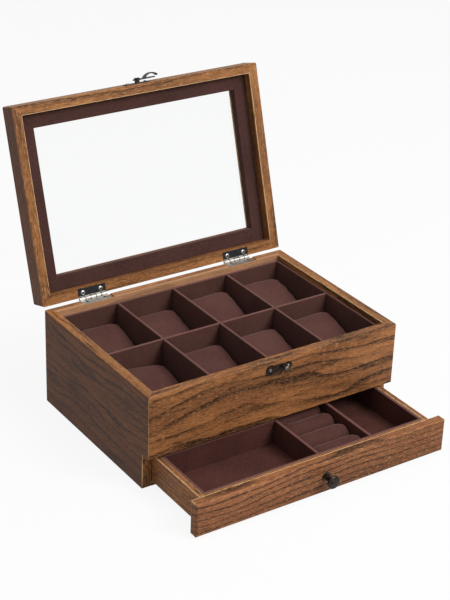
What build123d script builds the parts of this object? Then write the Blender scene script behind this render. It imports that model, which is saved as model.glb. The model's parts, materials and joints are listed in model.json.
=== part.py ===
"""Wooden watch box with a window in its hinged lid and a drawer under the tray.

Millimetres, Z up, front towards -Y. The origin is the middle of the box's underside.
The box is modelled as it stands open: lid leaning back, drawer pulled part of the way out.
"""

import os
from math import atan2, cos, degrees, hypot, radians, sin

from build123d import *

os.makedirs("parts", exist_ok=True)

# Case
case_width = 285.0
case_depth = 199.0
case_height = 102.5
wall = 10.0
corner_round = 1.5
edge_round = 0.8
opening_height = 36.8
base_thickness = 4.5

# Tray above the drawer
tray_floor_thickness = 3.5
tray_floor_rise = 0.2
floor_lining = 1.0
tray_lining = 2.5
lining_drop = 6.0
tray_divider = 2.6
tray_columns = 4
slot_clearance = 0.1

# Watch pillows
pillow_height = 35.5
pillow_side_gap = 2.2
pillow_back_gap = 1.0
pillow_front_gap = 4.2
pillow_floor_gap = 0.2
pillow_seam_draw = 3.0
pillow_heel_round = 4.0
pillow_toe_round = 3.0
pillow_crown_round = 8.0
pillow_slope_reach = 0.81
pillow_slope_fall = 0.592
pillow_slope_bulge = 1.7
pillow_nose_reach = 0.932
pillow_nose_height = 0.437

# Lid
lid_thickness = 23.2
lid_gap = 1.2
lid_angle = 106.73
lid_recess = 10.5
lid_edge_round = 3.0
trim_width = 15.0
trim_thickness = 7.0
trim_seam = 0.15
glass_thickness = 2.0
glass_clearance = 0.5
lip_bevel = 2.0

# Hinges
hinge_offset = 86.8
pin_setback = 1.4
pin_radius = 0.9
pin_running_clearance = 0.05
pin_overhang = 0.4
knuckle_radius = 1.9
knuckle_count = 5
knuckle_gap = 0.2
leaf_width = 31.0
leaf_reach = 10.4
leaf_thickness = 1.2
leaf_corner = 0.8
leaf_relief = 0.3
mortise_width = 35.0
mortise_shift = 1.7
mortise_clearance = 0.3
screw_pitch = 20.2
screw_setback = 6.0
screw_radius = 1.15
screw_head_radius = 2.3
screw_head_rise = 0.5
screw_length = 7.0
recess_arm = 2.6
recess_slot = 0.8
recess_depth = 1.0

# Latch on the lid and catch on the case
plate_length = 29.5
plate_height = 10.5
plate_small_end = 8.4
plate_waist = 7.4
plate_thickness = 0.9
plate_offset = 0.7
catch_drop = 9.0
latch_rise = 7.0
pivot_x = 2.0
stud_x = 6.5
stud_radius = 1.3
stud_head_radius = 2.2
stud_head_thickness = 1.1
stud_foot = 3.0
nail_inset = 4.4
nail_head_radius = 1.8
nail_head_thickness = 0.9
nail_dimple_radius = 0.7
nail_dimple_depth = 0.5
nail_radius = 0.7
nail_length = 6.0
rivet_radius = 1.5
rivet_shoulder_radius = 2.6
rivet_head_radius = 2.9
rivet_head_thickness = 1.2
hook_standoff = 3.3
hook_thickness = 1.2
hook_hub_radius = 4.3
hook_arm_width = 4.4
hook_tip_reach = 0.9
hook_clearance = 0.3
hook_face_gap = 0.1
tab_start = 9.5
tab_peak = 18.0
tab_end = 26.0
tab_width = 4.4
tab_rise = 4.2
tab_drop = 2.8

# Drawer
drawer_open = 83.3
front_thickness = 10.0
front_bottom = 1.4
front_top_gap = 0.6
front_round = 2.5
closing_gap = 0.3
drawer_side_gap = 0.8
drawer_back_gap = 2.0
drawer_side = 5.5
drawer_end = 5.0
drawer_base_gap = 0.5
drawer_base = 2.5
drawer_top_drop = 1.8
drawer_lining = 3.0
drawer_floor_lining = 1.0
drawer_lining_drop = 0.3
drawer_divider = 3.3
middle_bay_width = 58.5
right_bay_width = 57.2
front_bay_depth = 67.6

# Ring rolls in the drawer's middle bay
roll_count = 7
roll_gap = 0.4
roll_end_gap = 0.4
roll_flat = 0.5
roll_seam_draw = 1.5

# Drawer knob
knob_base_radius = 4.6
knob_base_thickness = 1.6
knob_neck_radius = 2.8
knob_head_radius = 6.6
knob_head_thickness = 4.2
knob_projection = 13.5
knob_screw_radius = 2.0
knob_screw_grip = 8.0
knob_screw_head_radius = 3.6
knob_screw_head_thickness = 2.2

# Places worked out from the sizes above
half_width = case_width / 2
half_depth = case_depth / 2
inner_half_width = half_width - wall
inner_half_depth = half_depth - wall
tray_floor_bottom = opening_height + tray_floor_rise
tray_lining_bottom = tray_floor_bottom + tray_floor_thickness
tray_floor = tray_lining_bottom + floor_lining
lining_top = case_height - lining_drop
bay_half_width = inner_half_width - tray_lining
bay_half_depth = inner_half_depth - tray_lining
column_width = (2 * bay_half_width - (tray_columns - 1) * tray_divider) / tray_columns
column_pitch = column_width + tray_divider
row_depth = bay_half_depth - tray_divider / 2

pin_y = half_depth + pin_setback
pin_z = case_height + lid_gap / 2
mortise_depth = knuckle_radius - lid_gap / 2
mortise_reach = leaf_reach - pin_setback + mortise_clearance
lid_back = (0, cos(radians(lid_angle)), -sin(radians(lid_angle)))
lid_up = (0, sin(radians(lid_angle)), cos(radians(lid_angle)))
pin_plane = Plane(origin=(0, pin_y, pin_z), x_dir=(1, 0, 0), z_dir=lid_up)
lid_plane = Plane(
    origin=pin_plane.from_local_coords((0, -pin_setback - half_depth, lid_gap / 2)),
    x_dir=(1, 0, 0),
    z_dir=lid_up,
)
lid_axis = Axis(lid_plane.origin, lid_up)

front_y = -half_depth - drawer_open
front_back_y = front_y + front_thickness
front_height = opening_height - front_top_gap - front_bottom
drawer_half_width = inner_half_width - drawer_side_gap
drawer_bottom_z = base_thickness + drawer_base_gap
drawer_top = front_bottom + front_height - drawer_top_drop
drawer_back_y = inner_half_depth - drawer_back_gap - drawer_open
drawer_bay_half_width = drawer_half_width - drawer_side - drawer_lining
drawer_bay_front = front_back_y + drawer_end + drawer_lining
drawer_bay_back = drawer_back_y - drawer_end - drawer_lining
drawer_bay_length = drawer_bay_back - drawer_bay_front
drawer_bay_middle = (drawer_bay_front + drawer_bay_back) / 2
drawer_floor = drawer_bottom_z + drawer_base + drawer_floor_lining
drawer_lining_top = drawer_top - drawer_lining_drop


# How far a quarter round's middle lies from its corner, as a share of its radius
arc_share = 1 - cos(radians(45))

# Soft pieces keep their full section over most of their width and draw in near the sewn ends
soft_stations = [(share, abs(share) ** 8) for share in (-1, -0.93, -0.75, -0.4, 0, 0.4, 0.75, 0.93, 1)]


def dome_point(radius, low, high):
    """The point half way out on a ball-shaped cap that is low at its rim and high on its axis."""
    rise = high - low
    ball = (radius**2 + rise**2) / (2 * rise)
    return (radius / 2, high - ball + (ball**2 - radius**2 / 4) ** 0.5)


def block(low, high):
    """A squared board between two opposite corners."""
    with BuildPart() as board:
        with BuildSketch(Plane.XY.offset(low[2])):
            with Locations(((low[0] + high[0]) / 2, (low[1] + high[1]) / 2)):
                Rectangle(high[0] - low[0], high[1] - low[1])
        extrude(amount=high[2] - low[2])
    return board


def mitred_board(walls, base, facing):
    """One side of a four-sided frame, cut off at its two mitred corners."""
    with BuildPart() as board:
        add(walls.part)
        for end in (-1, 1):
            along = (-facing[1] * end, facing[0] * end)
            corner = ((facing[0] + along[0]) * half_width, (facing[1] + along[1]) * half_depth, 0)
            inward = base.x_dir * (facing[0] - along[0]) + base.y_dir * (facing[1] - along[1])
            split(bisect_by=Plane(origin=base.from_local_coords(corner), z_dir=inward), keep=Keep.TOP)
    return board


# Case walls, made as one ring and then cut into four mitred boards
hinge_screw_places = [
    (side * hinge_offset + end * screw_pitch / 2, pin_y - screw_setback)
    for side in (-1, 1)
    for end in (-1, 1)
]
front_recess = front_thickness + closing_gap

with BuildPart() as case_walls:
    with BuildSketch(Plane.XY):
        Rectangle(case_width, case_depth)
        Rectangle(2 * inner_half_width, 2 * inner_half_depth, mode=Mode.SUBTRACT)
    extrude(amount=case_height)
    upright_edges = case_walls.edges().filter_by(Axis.Z)
    fillet(upright_edges.sort_by_distance((0, 0, case_height / 2))[-4:], radius=corner_round)
    fillet(case_walls.faces().sort_by(Axis.Z)[-1].outer_wire().edges(), radius=edge_round)
    with BuildSketch(Plane.XY):
        with Locations((0, -half_depth + front_recess / 2)):
            Rectangle(case_width, front_recess)
    extrude(amount=opening_height, mode=Mode.SUBTRACT)
    with BuildSketch(Plane.XY.offset(case_height)):
        for side in (-1, 1):
            with Locations((side * hinge_offset + mortise_shift, half_depth - mortise_reach / 2)):
                Rectangle(mortise_width, mortise_reach)
    extrude(amount=-mortise_depth, mode=Mode.SUBTRACT)
    with Locations(*[(x, y, case_height - mortise_depth) for x, y in hinge_screw_places]):
        Hole(radius=screw_radius, depth=screw_length)

nail_places = (
    plate_offset - plate_length / 2 + nail_inset,
    plate_offset + plate_length / 2 - nail_inset,
)
catch_plane = Plane(origin=(0, -half_depth, case_height - catch_drop), x_dir=(1, 0, 0), z_dir=(0, -1, 0))
with BuildPart() as front_board:
    add(mitred_board(case_walls, Plane.XY, (0, -1)).part)
    lower_edges = front_board.edges().filter_by(Axis.X).group_by(Axis.Z)[0]
    fillet(lower_edges.sort_by(Axis.Y)[0], radius=edge_round)
    with BuildSketch(catch_plane):
        with Locations(*[(x, 0) for x in nail_places]):
            Circle(nail_radius)
    extrude(amount=-nail_length, mode=Mode.SUBTRACT)
    with BuildSketch(catch_plane):
        with Locations((stud_x, 0)):
            Circle(stud_radius)
    extrude(amount=-stud_foot, mode=Mode.SUBTRACT)
front_board.part.label = "front_board"
export_step(front_board.part, "parts/front_board.step")

back_panel = mitred_board(case_walls, Plane.XY, (0, 1))
back_panel.part.label = "back_panel"
export_step(back_panel.part, "parts/back_panel.step")

for name, facing in (("left_side_panel", (-1, 0)), ("right_side_panel", (1, 0))):
    side_panel = mitred_board(case_walls, Plane.XY, facing)
    side_panel.part.label = name
    export_step(side_panel.part, f"parts/{name}.step")

# Base board that the drawer slides on
base_board = block(
    (-inner_half_width, -inner_half_depth, 0),
    (inner_half_width, inner_half_depth, base_thickness),
)
base_board.part.label = "base_board"
export_step(base_board.part, "parts/base_board.step")

# Tray floor, its lining and the four lining panels
tray_floor_board = block(
    (-inner_half_width, -inner_half_depth, tray_floor_bottom),
    (inner_half_width, inner_half_depth, tray_lining_bottom),
)
tray_floor_board.part.label = "tray_floor"
export_step(tray_floor_board.part, "parts/tray_floor.step")

tray_floor_lining = block(
    (-bay_half_width, -bay_half_depth, tray_lining_bottom),
    (bay_half_width, bay_half_depth, tray_floor),
)
tray_floor_lining.part.label = "tray_floor_lining"
export_step(tray_floor_lining.part, "parts/tray_floor_lining.step")

tray_lining_boxes = {
    "front_tray_lining": (-inner_half_width, -inner_half_depth, inner_half_width, -bay_half_depth),
    "back_tray_lining": (-inner_half_width, bay_half_depth, inner_half_width, inner_half_depth),
    "left_tray_lining": (-inner_half_width, -bay_half_depth, -bay_half_width, bay_half_depth),
    "right_tray_lining": (bay_half_width, -bay_half_depth, inner_half_width, bay_half_depth),
}
for name, (x_low, y_low, x_high, y_high) in tray_lining_boxes.items():
    lining_panel = block((x_low, y_low, tray_lining_bottom), (x_high, y_high, lining_top))
    lining_panel.part.label = name
    export_step(lining_panel.part, f"parts/{name}.step")

# Dividers, halved into each other where they cross
halving_z = (tray_floor + lining_top) / 2
divider_places = [column_pitch * (number - tray_columns / 2) for number in range(1, tray_columns)]
slot_width = tray_divider + 2 * slot_clearance

with BuildPart() as long_divider:
    add(block(
        (-bay_half_width, -tray_divider / 2, tray_floor),
        (bay_half_width, tray_divider / 2, lining_top),
    ).part)
    with BuildSketch(Plane.XY.offset(lining_top)):
        with Locations(*[(x, 0) for x in divider_places]):
            Rectangle(slot_width, slot_width)
    extrude(amount=halving_z - slot_clearance - lining_top, mode=Mode.SUBTRACT)
long_divider.part.label = "long_divider"
export_step(long_divider.part, "parts/long_divider.step")

for number, x in enumerate(divider_places, start=1):
    with BuildPart() as cross_divider:
        add(block(
            (x - tray_divider / 2, -bay_half_depth, tray_floor),
            (x + tray_divider / 2, bay_half_depth, lining_top),
        ).part)
        with BuildSketch(Plane.XY.offset(tray_floor)):
            with Locations((x, 0)):
                Rectangle(slot_width, slot_width)
        extrude(amount=halving_z + slot_clearance - tray_floor, mode=Mode.SUBTRACT)
    cross_divider.part.label = f"cross_divider_{number}"
    export_step(cross_divider.part, f"parts/cross_divider_{number}.step")

# Watch pillows: a high rounded back, a long crowned slope and a rounded nose
pillow_length = row_depth - pillow_back_gap - pillow_front_gap
pillow_width = column_width - 2 * pillow_side_gap


def watch_pillow(centre_x, back_y):
    """One pillow, lofted across its width through sections drawn in towards the sewn ends."""
    with BuildPart() as pillow:
        for share, tightness in soft_stations:
            draw = tightness * pillow_seam_draw
            section = Plane(
                origin=(
                    centre_x + share * pillow_width / 2, back_y, tray_floor + pillow_floor_gap
                ),
                x_dir=(0, -1, 0),
                z_dir=(-1, 0, 0),
            )
            top = pillow_height - draw
            nose = pillow_length - draw
            slope_end = (pillow_slope_reach * pillow_length - draw, pillow_slope_fall * top)
            heel = pillow_heel_round
            toe = pillow_toe_round
            crown = pillow_crown_round
            slope_middle = (
                (draw + crown + slope_end[0]) / 2,
                (top + slope_end[1]) / 2 + pillow_slope_bulge,
            )
            nose_middle = (pillow_nose_reach * nose, pillow_nose_height * top)
            with BuildSketch(section):
                with BuildLine():
                    Line((nose - toe, 0), (draw + heel, 0))
                    ThreePointArc(
                        (draw + heel, 0), (draw + arc_share * heel, arc_share * heel), (draw, heel)
                    )
                    Line((draw, heel), (draw, top - crown))
                    ThreePointArc(
                        (draw, top - crown),
                        (draw + arc_share * crown, top - arc_share * crown),
                        (draw + crown, top),
                    )
                    ThreePointArc((draw + crown, top), slope_middle, slope_end)
                    ThreePointArc(slope_end, nose_middle, (nose, toe))
                    ThreePointArc(
                        (nose, toe), (nose - arc_share * toe, arc_share * toe), (nose - toe, 0)
                    )
                make_face()
        loft()
    return pillow


pillow_number = 0
for row_back in (bay_half_depth, -tray_divider / 2):
    for column in range(tray_columns):
        pillow_number += 1
        pillow = watch_pillow(
            (column - (tray_columns - 1) / 2) * column_pitch, row_back - pillow_back_gap
        )
        pillow.part.label = f"watch_pillow_{pillow_number}"
        export_step(pillow.part, f"parts/watch_pillow_{pillow_number}.step")

# Lid frame: four mitred rails, rounded outside, with a lip over the glass
trim_bottom = lid_recess
glass_bottom = trim_bottom + trim_thickness
lip_bottom = glass_bottom + glass_thickness
window_half_width = inner_half_width - trim_width
window_half_depth = inner_half_depth - trim_width
lid_front_plane = Plane(
    origin=lid_plane.from_local_coords((0, -half_depth, latch_rise)),
    x_dir=(1, 0, 0),
    z_dir=tuple(-value for value in lid_back),
)

with BuildPart() as lid_frame:
    with BuildSketch(lid_plane):
        Rectangle(case_width, case_depth)
        Rectangle(2 * inner_half_width, 2 * inner_half_depth, mode=Mode.SUBTRACT)
    extrude(amount=lid_thickness)
    with BuildSketch(lid_plane.offset(lip_bottom)):
        Rectangle(2 * inner_half_width, 2 * inner_half_depth)
        Rectangle(
            2 * window_half_width,
            2 * window_half_depth,
            mode=Mode.SUBTRACT,
        )
    extrude(amount=lid_thickness - lip_bottom)
    lid_corners = lid_frame.edges().filter_by(lid_axis)
    fillet(lid_corners.sort_by_distance(lid_plane.origin)[-4:], radius=corner_round)
    fillet(lid_frame.faces().sort_by(lid_axis)[-1].outer_wire().edges(), radius=lid_edge_round)
    chamfer(lid_frame.faces().sort_by(lid_axis)[-1].inner_wires()[0].edges(), length=lip_bevel)
    with BuildSketch(lid_plane):
        for side in (-1, 1):
            with Locations((side * hinge_offset, half_depth - mortise_reach / 2)):
                Rectangle(leaf_width + 2 * mortise_clearance, mortise_reach)
    extrude(amount=mortise_depth, mode=Mode.SUBTRACT)
    with BuildSketch(lid_plane.offset(mortise_depth)):
        with Locations(*[(x, y) for x, y in hinge_screw_places]):
            Circle(screw_radius)
    extrude(amount=screw_length, mode=Mode.SUBTRACT)

with BuildPart() as lid_front_rail:
    add(mitred_board(lid_frame, lid_plane, (0, -1)).part)
    with BuildSketch(lid_front_plane):
        with Locations(*[(x, 0) for x in nail_places]):
            Circle(nail_radius)
    extrude(amount=-nail_length, mode=Mode.SUBTRACT)
    with BuildSketch(lid_front_plane):
        with Locations((pivot_x, 0)):
            Circle(rivet_radius)
    extrude(amount=-stud_foot, mode=Mode.SUBTRACT)
lid_front_rail.part.label = "lid_front_rail"
export_step(lid_front_rail.part, "parts/lid_front_rail.step")

lid_rail_sides = {
    "lid_back_rail": (0, 1),
    "lid_left_rail": (-1, 0),
    "lid_right_rail": (1, 0),
}
for name, facing in lid_rail_sides.items():
    lid_rail = mitred_board(lid_frame, lid_plane, facing)
    lid_rail.part.label = name
    export_step(lid_rail.part, f"parts/{name}.step")

# Lined ring round the window, in four mitred strips
with BuildPart() as lid_trim:
    with BuildSketch(lid_plane.offset(trim_bottom)):
        Rectangle(2 * inner_half_width, 2 * inner_half_depth)
        Rectangle(2 * window_half_width, 2 * window_half_depth, mode=Mode.SUBTRACT)
        for x_side in (-1, 1):
            for y_side in (-1, 1):
                seam_centre = (
                    x_side * (inner_half_width - trim_width / 2),
                    y_side * (inner_half_depth - trim_width / 2),
                )
                with Locations(seam_centre):
                    Rectangle(
                        2 * trim_width, trim_seam, rotation=45 * x_side * y_side, mode=Mode.SUBTRACT
                    )
    extrude(amount=trim_thickness)
lid_trim.part.label = "lid_trim"
export_step(lid_trim.part, "parts/lid_trim.step")

with BuildPart() as glass_pane:
    with BuildSketch(lid_plane.offset(glass_bottom)):
        Rectangle(
            2 * (inner_half_width - glass_clearance), 2 * (inner_half_depth - glass_clearance)
        )
    extrude(amount=glass_thickness)
glass_pane.part.label = "glass_pane"
export_step(glass_pane.part, "parts/glass_pane.step")

# Hinges: each leaf lies in its mortise and carries alternate knuckles round the pin
knuckle_pitch = leaf_width / knuckle_count
knuckle_clear = knuckle_radius + leaf_relief


def hinge_leaf(place, knuckles, bore_radius):
    """A leaf on one side of the pin; place has its origin on the pin and -Z into the wood."""
    with BuildPart() as leaf:
        with BuildSketch(place.offset(-knuckle_radius)):
            with Locations((0, -(leaf_reach + knuckle_clear) / 2)):
                RectangleRounded(leaf_width, leaf_reach - knuckle_clear, leaf_corner)
            neck = knuckle_clear + leaf_corner
            for number in knuckles:
                with Locations(((number - (knuckle_count - 1) / 2) * knuckle_pitch, -neck / 2)):
                    Rectangle(knuckle_pitch - knuckle_gap, neck)
        extrude(amount=leaf_thickness)
        for number in knuckles:
            start = (number - knuckle_count / 2) * knuckle_pitch + knuckle_gap / 2
            knuckle_end = Plane(
                origin=place.from_local_coords((start, 0, 0)), x_dir=place.y_dir, z_dir=place.x_dir
            )
            with BuildSketch(knuckle_end):
                Circle(knuckle_radius)
            extrude(amount=knuckle_pitch - knuckle_gap)
        bore_start = Plane(
            origin=place.from_local_coords((-leaf_width / 2, 0, 0)),
            x_dir=place.y_dir,
            z_dir=place.x_dir,
        )
        with BuildSketch(bore_start):
            Circle(bore_radius)
        extrude(amount=leaf_width, mode=Mode.SUBTRACT)
        for end in (-1, 1):
            seat = place.from_local_coords(
                (end * screw_pitch / 2, -screw_setback, leaf_thickness - knuckle_radius)
            )
            with Locations(Plane(origin=seat, x_dir=place.x_dir, z_dir=place.z_dir)):
                CounterSinkHole(
                    radius=screw_radius,
                    counter_sink_radius=screw_head_radius,
                    depth=2 * leaf_thickness,
                    counter_sink_angle=90,
                )
    return leaf


def wood_screw(place):
    """A raised countersunk screw with a cross recess; place lies on the leaf's outer face."""
    stem_top = screw_radius - screw_head_radius
    tip = leaf_thickness + screw_length
    profile = Plane(origin=place.origin, x_dir=place.x_dir, z_dir=-place.y_dir)
    with BuildPart() as screw:
        with BuildSketch(profile):
            with BuildLine():
                Polyline(
                    (0, screw_head_rise),
                    (0, -tip),
                    (screw_radius, -tip + 2 * screw_radius),
                    (screw_radius, stem_top),
                    (screw_head_radius, 0),
                )
                ThreePointArc(
                    (screw_head_radius, 0),
                    dome_point(screw_head_radius, 0, screw_head_rise),
                    (0, screw_head_rise),
                )
            make_face()
        revolve(axis=Axis(place.origin, place.z_dir))
        with BuildSketch(place.offset(screw_head_rise)):
            Rectangle(recess_arm, recess_slot)
            Rectangle(recess_slot, recess_arm)
        extrude(amount=-recess_depth, mode=Mode.SUBTRACT)
    return screw


def screw_set(places):
    """Several screws as one group of separate solids."""
    with BuildPart() as group:
        for place in places:
            add(wood_screw(place).part)
    return group


lower_screw_places = []
upper_screw_places = []
for name, side in (("left", -1), ("right", 1)):
    lower_place = Plane(origin=(side * hinge_offset, pin_y, pin_z), x_dir=(1, 0, 0), z_dir=(0, 0, 1))
    upper_place = Plane(
        origin=lower_place.origin,
        x_dir=(-1, 0, 0),
        z_dir=tuple(-value for value in lid_up),
    )
    lower_leaf = hinge_leaf(lower_place, range(0, knuckle_count, 2), pin_radius)
    lower_leaf.part.label = f"{name}_hinge_lower_leaf"
    export_step(lower_leaf.part, f"parts/{name}_hinge_lower_leaf.step")
    upper_leaf = hinge_leaf(
        upper_place, range(1, knuckle_count, 2), pin_radius + pin_running_clearance
    )
    upper_leaf.part.label = f"{name}_hinge_upper_leaf"
    export_step(upper_leaf.part, f"parts/{name}_hinge_upper_leaf.step")
    for end in (-1, 1):
        seat = (end * screw_pitch / 2, -screw_setback, leaf_thickness - knuckle_radius)
        for place, places in ((lower_place, lower_screw_places), (upper_place, upper_screw_places)):
            places.append(Plane(
                origin=place.from_local_coords(seat), x_dir=place.x_dir, z_dir=place.z_dir
            ))

lower_hinge_screws = screw_set(lower_screw_places)
lower_hinge_screws.part.label = "lower_hinge_screws"
export_step(lower_hinge_screws.part, "parts/lower_hinge_screws.step")

upper_hinge_screws = screw_set(upper_screw_places)
upper_hinge_screws.part.label = "upper_hinge_screws"
export_step(upper_hinge_screws.part, "parts/upper_hinge_screws.step")

with BuildPart() as hinge_pins:
    for side in (-1, 1):
        pin_start = side * hinge_offset - leaf_width / 2 - pin_overhang
        with BuildSketch(Plane(origin=(pin_start, pin_y, pin_z), x_dir=(0, 1, 0), z_dir=(1, 0, 0))):
            Circle(pin_radius)
        extrude(amount=leaf_width + 2 * pin_overhang)
hinge_pins.part.label = "hinge_pins"
export_step(hinge_pins.part, "parts/hinge_pins.step")


# Catch on the case and latch on the lid, on matching plates
def backing_plate(place, holes):
    """A long plate with one large and one small rounded end, bored for its nails and its stud."""
    large = plate_height / 2
    small = plate_small_end / 2
    with BuildPart() as plate:
        with BuildSketch(place):
            with Locations((plate_offset - plate_length / 2 + large, 0)):
                Circle(large)
            with Locations((plate_offset + plate_length / 2 - small, 0)):
                Circle(small)
            with Locations((plate_offset + (large - small) / 2, 0)):
                Rectangle(plate_length - large - small, plate_waist)
        extrude(amount=plate_thickness)
        with BuildSketch(place):
            for x, radius in holes:
                with Locations((x, 0)):
                    Circle(radius)
        extrude(amount=plate_thickness, mode=Mode.SUBTRACT)
    return plate


def nail_pair(place):
    """Two round-headed nails with dimpled heads, standing on the plate."""
    with BuildPart() as nails:
        for x in nail_places:
            head = Plane(
                origin=place.from_local_coords((x, 0, plate_thickness)),
                x_dir=place.x_dir,
                z_dir=-place.y_dir,
            )
            with BuildSketch(head):
                with BuildLine():
                    Polyline(
                        (0, nail_head_thickness - nail_dimple_depth),
                        (0, -plate_thickness - nail_length),
                        (nail_radius, 2 * nail_radius - plate_thickness - nail_length),
                        (nail_radius, 0),
                        (nail_head_radius, 0),
                    )
                    ThreePointArc(
                        (nail_head_radius, 0),
                        (0.85 * nail_head_radius, 0.75 * nail_head_thickness),
                        (nail_dimple_radius, nail_head_thickness),
                    )
                    Line(
                        (nail_dimple_radius, nail_head_thickness),
                        (0, nail_head_thickness - nail_dimple_depth),
                    )
                make_face()
            revolve(axis=Axis(head.origin, place.z_dir))
    return nails


hook_top = hook_standoff + hook_thickness
catch_plate = backing_plate(
    catch_plane, [(x, nail_radius) for x in nail_places] + [(stud_x, stud_radius)]
)
catch_plate.part.label = "catch_plate"
export_step(catch_plate.part, "parts/catch_plate.step")

catch_nails = nail_pair(catch_plane)
catch_nails.part.label = "catch_nails"
export_step(catch_nails.part, "parts/catch_nails.step")

with BuildPart() as catch_stud:
    with BuildSketch(catch_plane.offset(-stud_foot)):
        with Locations((stud_x, 0)):
            Circle(stud_radius)
    extrude(amount=stud_foot + hook_top + hook_clearance)
    with BuildSketch(catch_plane.offset(hook_top + hook_clearance)):
        with Locations((stud_x, 0)):
            Circle(stud_head_radius)
    extrude(amount=stud_head_thickness)
    fillet(catch_stud.edges().sort_by(Axis.Y)[0], radius=0.6 * stud_head_thickness)
catch_stud.part.label = "catch_stud"
export_step(catch_stud.part, "parts/catch_stud.step")

latch_plate = backing_plate(
    lid_front_plane, [(x, nail_radius) for x in nail_places] + [(pivot_x, rivet_radius)]
)
latch_plate.part.label = "latch_plate"
export_step(latch_plate.part, "parts/latch_plate.step")

latch_nails = nail_pair(lid_front_plane)
latch_nails.part.label = "latch_nails"
export_step(latch_nails.part, "parts/latch_nails.step")

latch_axis = Axis(lid_front_plane.origin, lid_front_plane.z_dir)
with BuildPart() as latch_rivet:
    with BuildSketch(lid_front_plane.offset(-stud_foot)):
        with Locations((pivot_x, 0)):
            Circle(rivet_radius)
    extrude(amount=stud_foot + hook_top + hook_face_gap)
    with BuildSketch(lid_front_plane.offset(plate_thickness)):
        with Locations((pivot_x, 0)):
            Circle(rivet_shoulder_radius)
    extrude(amount=hook_standoff - hook_face_gap - plate_thickness)
    with BuildSketch(lid_front_plane.offset(hook_top + hook_face_gap)):
        with Locations((pivot_x, 0)):
            Circle(rivet_head_radius)
    extrude(amount=rivet_head_thickness)
    fillet(latch_rivet.edges().sort_by(latch_axis)[-1], radius=0.6 * rivet_head_thickness)
latch_rivet.part.label = "latch_rivet"
export_step(latch_rivet.part, "parts/latch_rivet.step")

# Hook: a flat arm with a notch for the stud and an arched finger tab beside it
reach_x = stud_x - pivot_x
reach_z = lid_gap + latch_rise + catch_drop
hook_reach = hypot(reach_x, reach_z)
latched_angle = degrees(atan2(reach_z, reach_x))
notch_half = stud_radius + hook_clearance
arm_end = hook_reach + notch_half + hook_tip_reach
hook_plane = Plane(
    origin=lid_front_plane.from_local_coords((pivot_x, 0, hook_standoff)),
    x_dir=lid_front_plane.x_dir,
    z_dir=lid_front_plane.z_dir,
)
tab_plane = Plane(
    origin=hook_plane.from_local_coords((0, notch_half, 0)),
    x_dir=hook_plane.x_dir,
    z_dir=-hook_plane.y_dir,
)
with BuildPart() as latch_hook:
    with BuildSketch(hook_plane):
        Circle(hook_hub_radius)
        with Locations((arm_end / 2, 0.2 * hook_arm_width)):
            Rectangle(arm_end, 1.2 * hook_arm_width)
        with Locations((hook_reach, -hook_arm_width / 2)):
            Rectangle(2 * notch_half, hook_arm_width, mode=Mode.SUBTRACT)
        with Locations((hook_reach, 0)):
            Circle(notch_half, mode=Mode.SUBTRACT)
        Circle(rivet_radius + pin_running_clearance, mode=Mode.SUBTRACT)
    extrude(amount=hook_thickness)
    with BuildSketch(tab_plane):
        with BuildLine():
            Polyline((tab_start + hook_thickness, 0), (tab_start, 0), (tab_start, hook_thickness))
            ThreePointArc(
                (tab_start, hook_thickness),
                (tab_peak, hook_thickness + tab_rise),
                (tab_end, hook_thickness + tab_rise - tab_drop),
            )
            Line(
                (tab_end, hook_thickness + tab_rise - tab_drop),
                (tab_end - hook_thickness, tab_rise - tab_drop),
            )
            ThreePointArc(
                (tab_end - hook_thickness, tab_rise - tab_drop),
                (tab_peak, tab_rise),
                (tab_start + hook_thickness, 0),
            )
        make_face()
    extrude(amount=-tab_width)
latch_hook.part.label = "latch_hook"
export_step(latch_hook.part, "parts/latch_hook.step")

# Drawer front and box
knob_z = front_bottom + front_height / 2
knob_plane = Plane(origin=(0, front_y, knob_z), x_dir=(1, 0, 0), z_dir=(0, -1, 0))

with BuildPart() as drawer_front:
    add(block(
        (-half_width, front_y, front_bottom),
        (half_width, front_back_y, front_bottom + front_height),
    ).part)
    fillet(drawer_front.faces().sort_by(Axis.Y)[0].edges(), radius=front_round)
    with BuildSketch(knob_plane):
        Circle(knob_screw_radius)
    extrude(amount=-front_thickness, mode=Mode.SUBTRACT)
drawer_front.part.label = "drawer_front"
export_step(drawer_front.part, "parts/drawer_front.step")

drawer_side_inner = drawer_half_width - drawer_side
with BuildPart() as drawer_inner_front:
    add(block(
        (-drawer_side_inner, front_back_y, drawer_bottom_z),
        (drawer_side_inner, front_back_y + drawer_end, drawer_top),
    ).part)
    with BuildSketch(knob_plane.offset(-front_thickness)):
        Circle(knob_screw_radius)
    extrude(amount=-drawer_end, mode=Mode.SUBTRACT)
    with BuildSketch(knob_plane.offset(-front_thickness - drawer_end)):
        Circle(knob_screw_head_radius)
    extrude(amount=knob_screw_head_thickness, mode=Mode.SUBTRACT)
drawer_inner_front.part.label = "drawer_inner_front"
export_step(drawer_inner_front.part, "parts/drawer_inner_front.step")

drawer_back = block(
    (-drawer_side_inner, drawer_back_y - drawer_end, drawer_bottom_z),
    (drawer_side_inner, drawer_back_y, drawer_top),
)
drawer_back.part.label = "drawer_back"
export_step(drawer_back.part, "parts/drawer_back.step")

for name, side in (("drawer_left_side", -1), ("drawer_right_side", 1)):
    x_low, x_high = sorted((side * drawer_half_width, side * drawer_side_inner))
    drawer_side_board = block(
        (x_low, front_back_y, drawer_bottom_z), (x_high, drawer_back_y, drawer_top)
    )
    drawer_side_board.part.label = name
    export_step(drawer_side_board.part, f"parts/{name}.step")

drawer_bottom = block(
    (-drawer_side_inner, front_back_y + drawer_end, drawer_bottom_z),
    (drawer_side_inner, drawer_back_y - drawer_end, drawer_bottom_z + drawer_base),
)
drawer_bottom.part.label = "drawer_bottom"
export_step(drawer_bottom.part, "parts/drawer_bottom.step")

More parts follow.
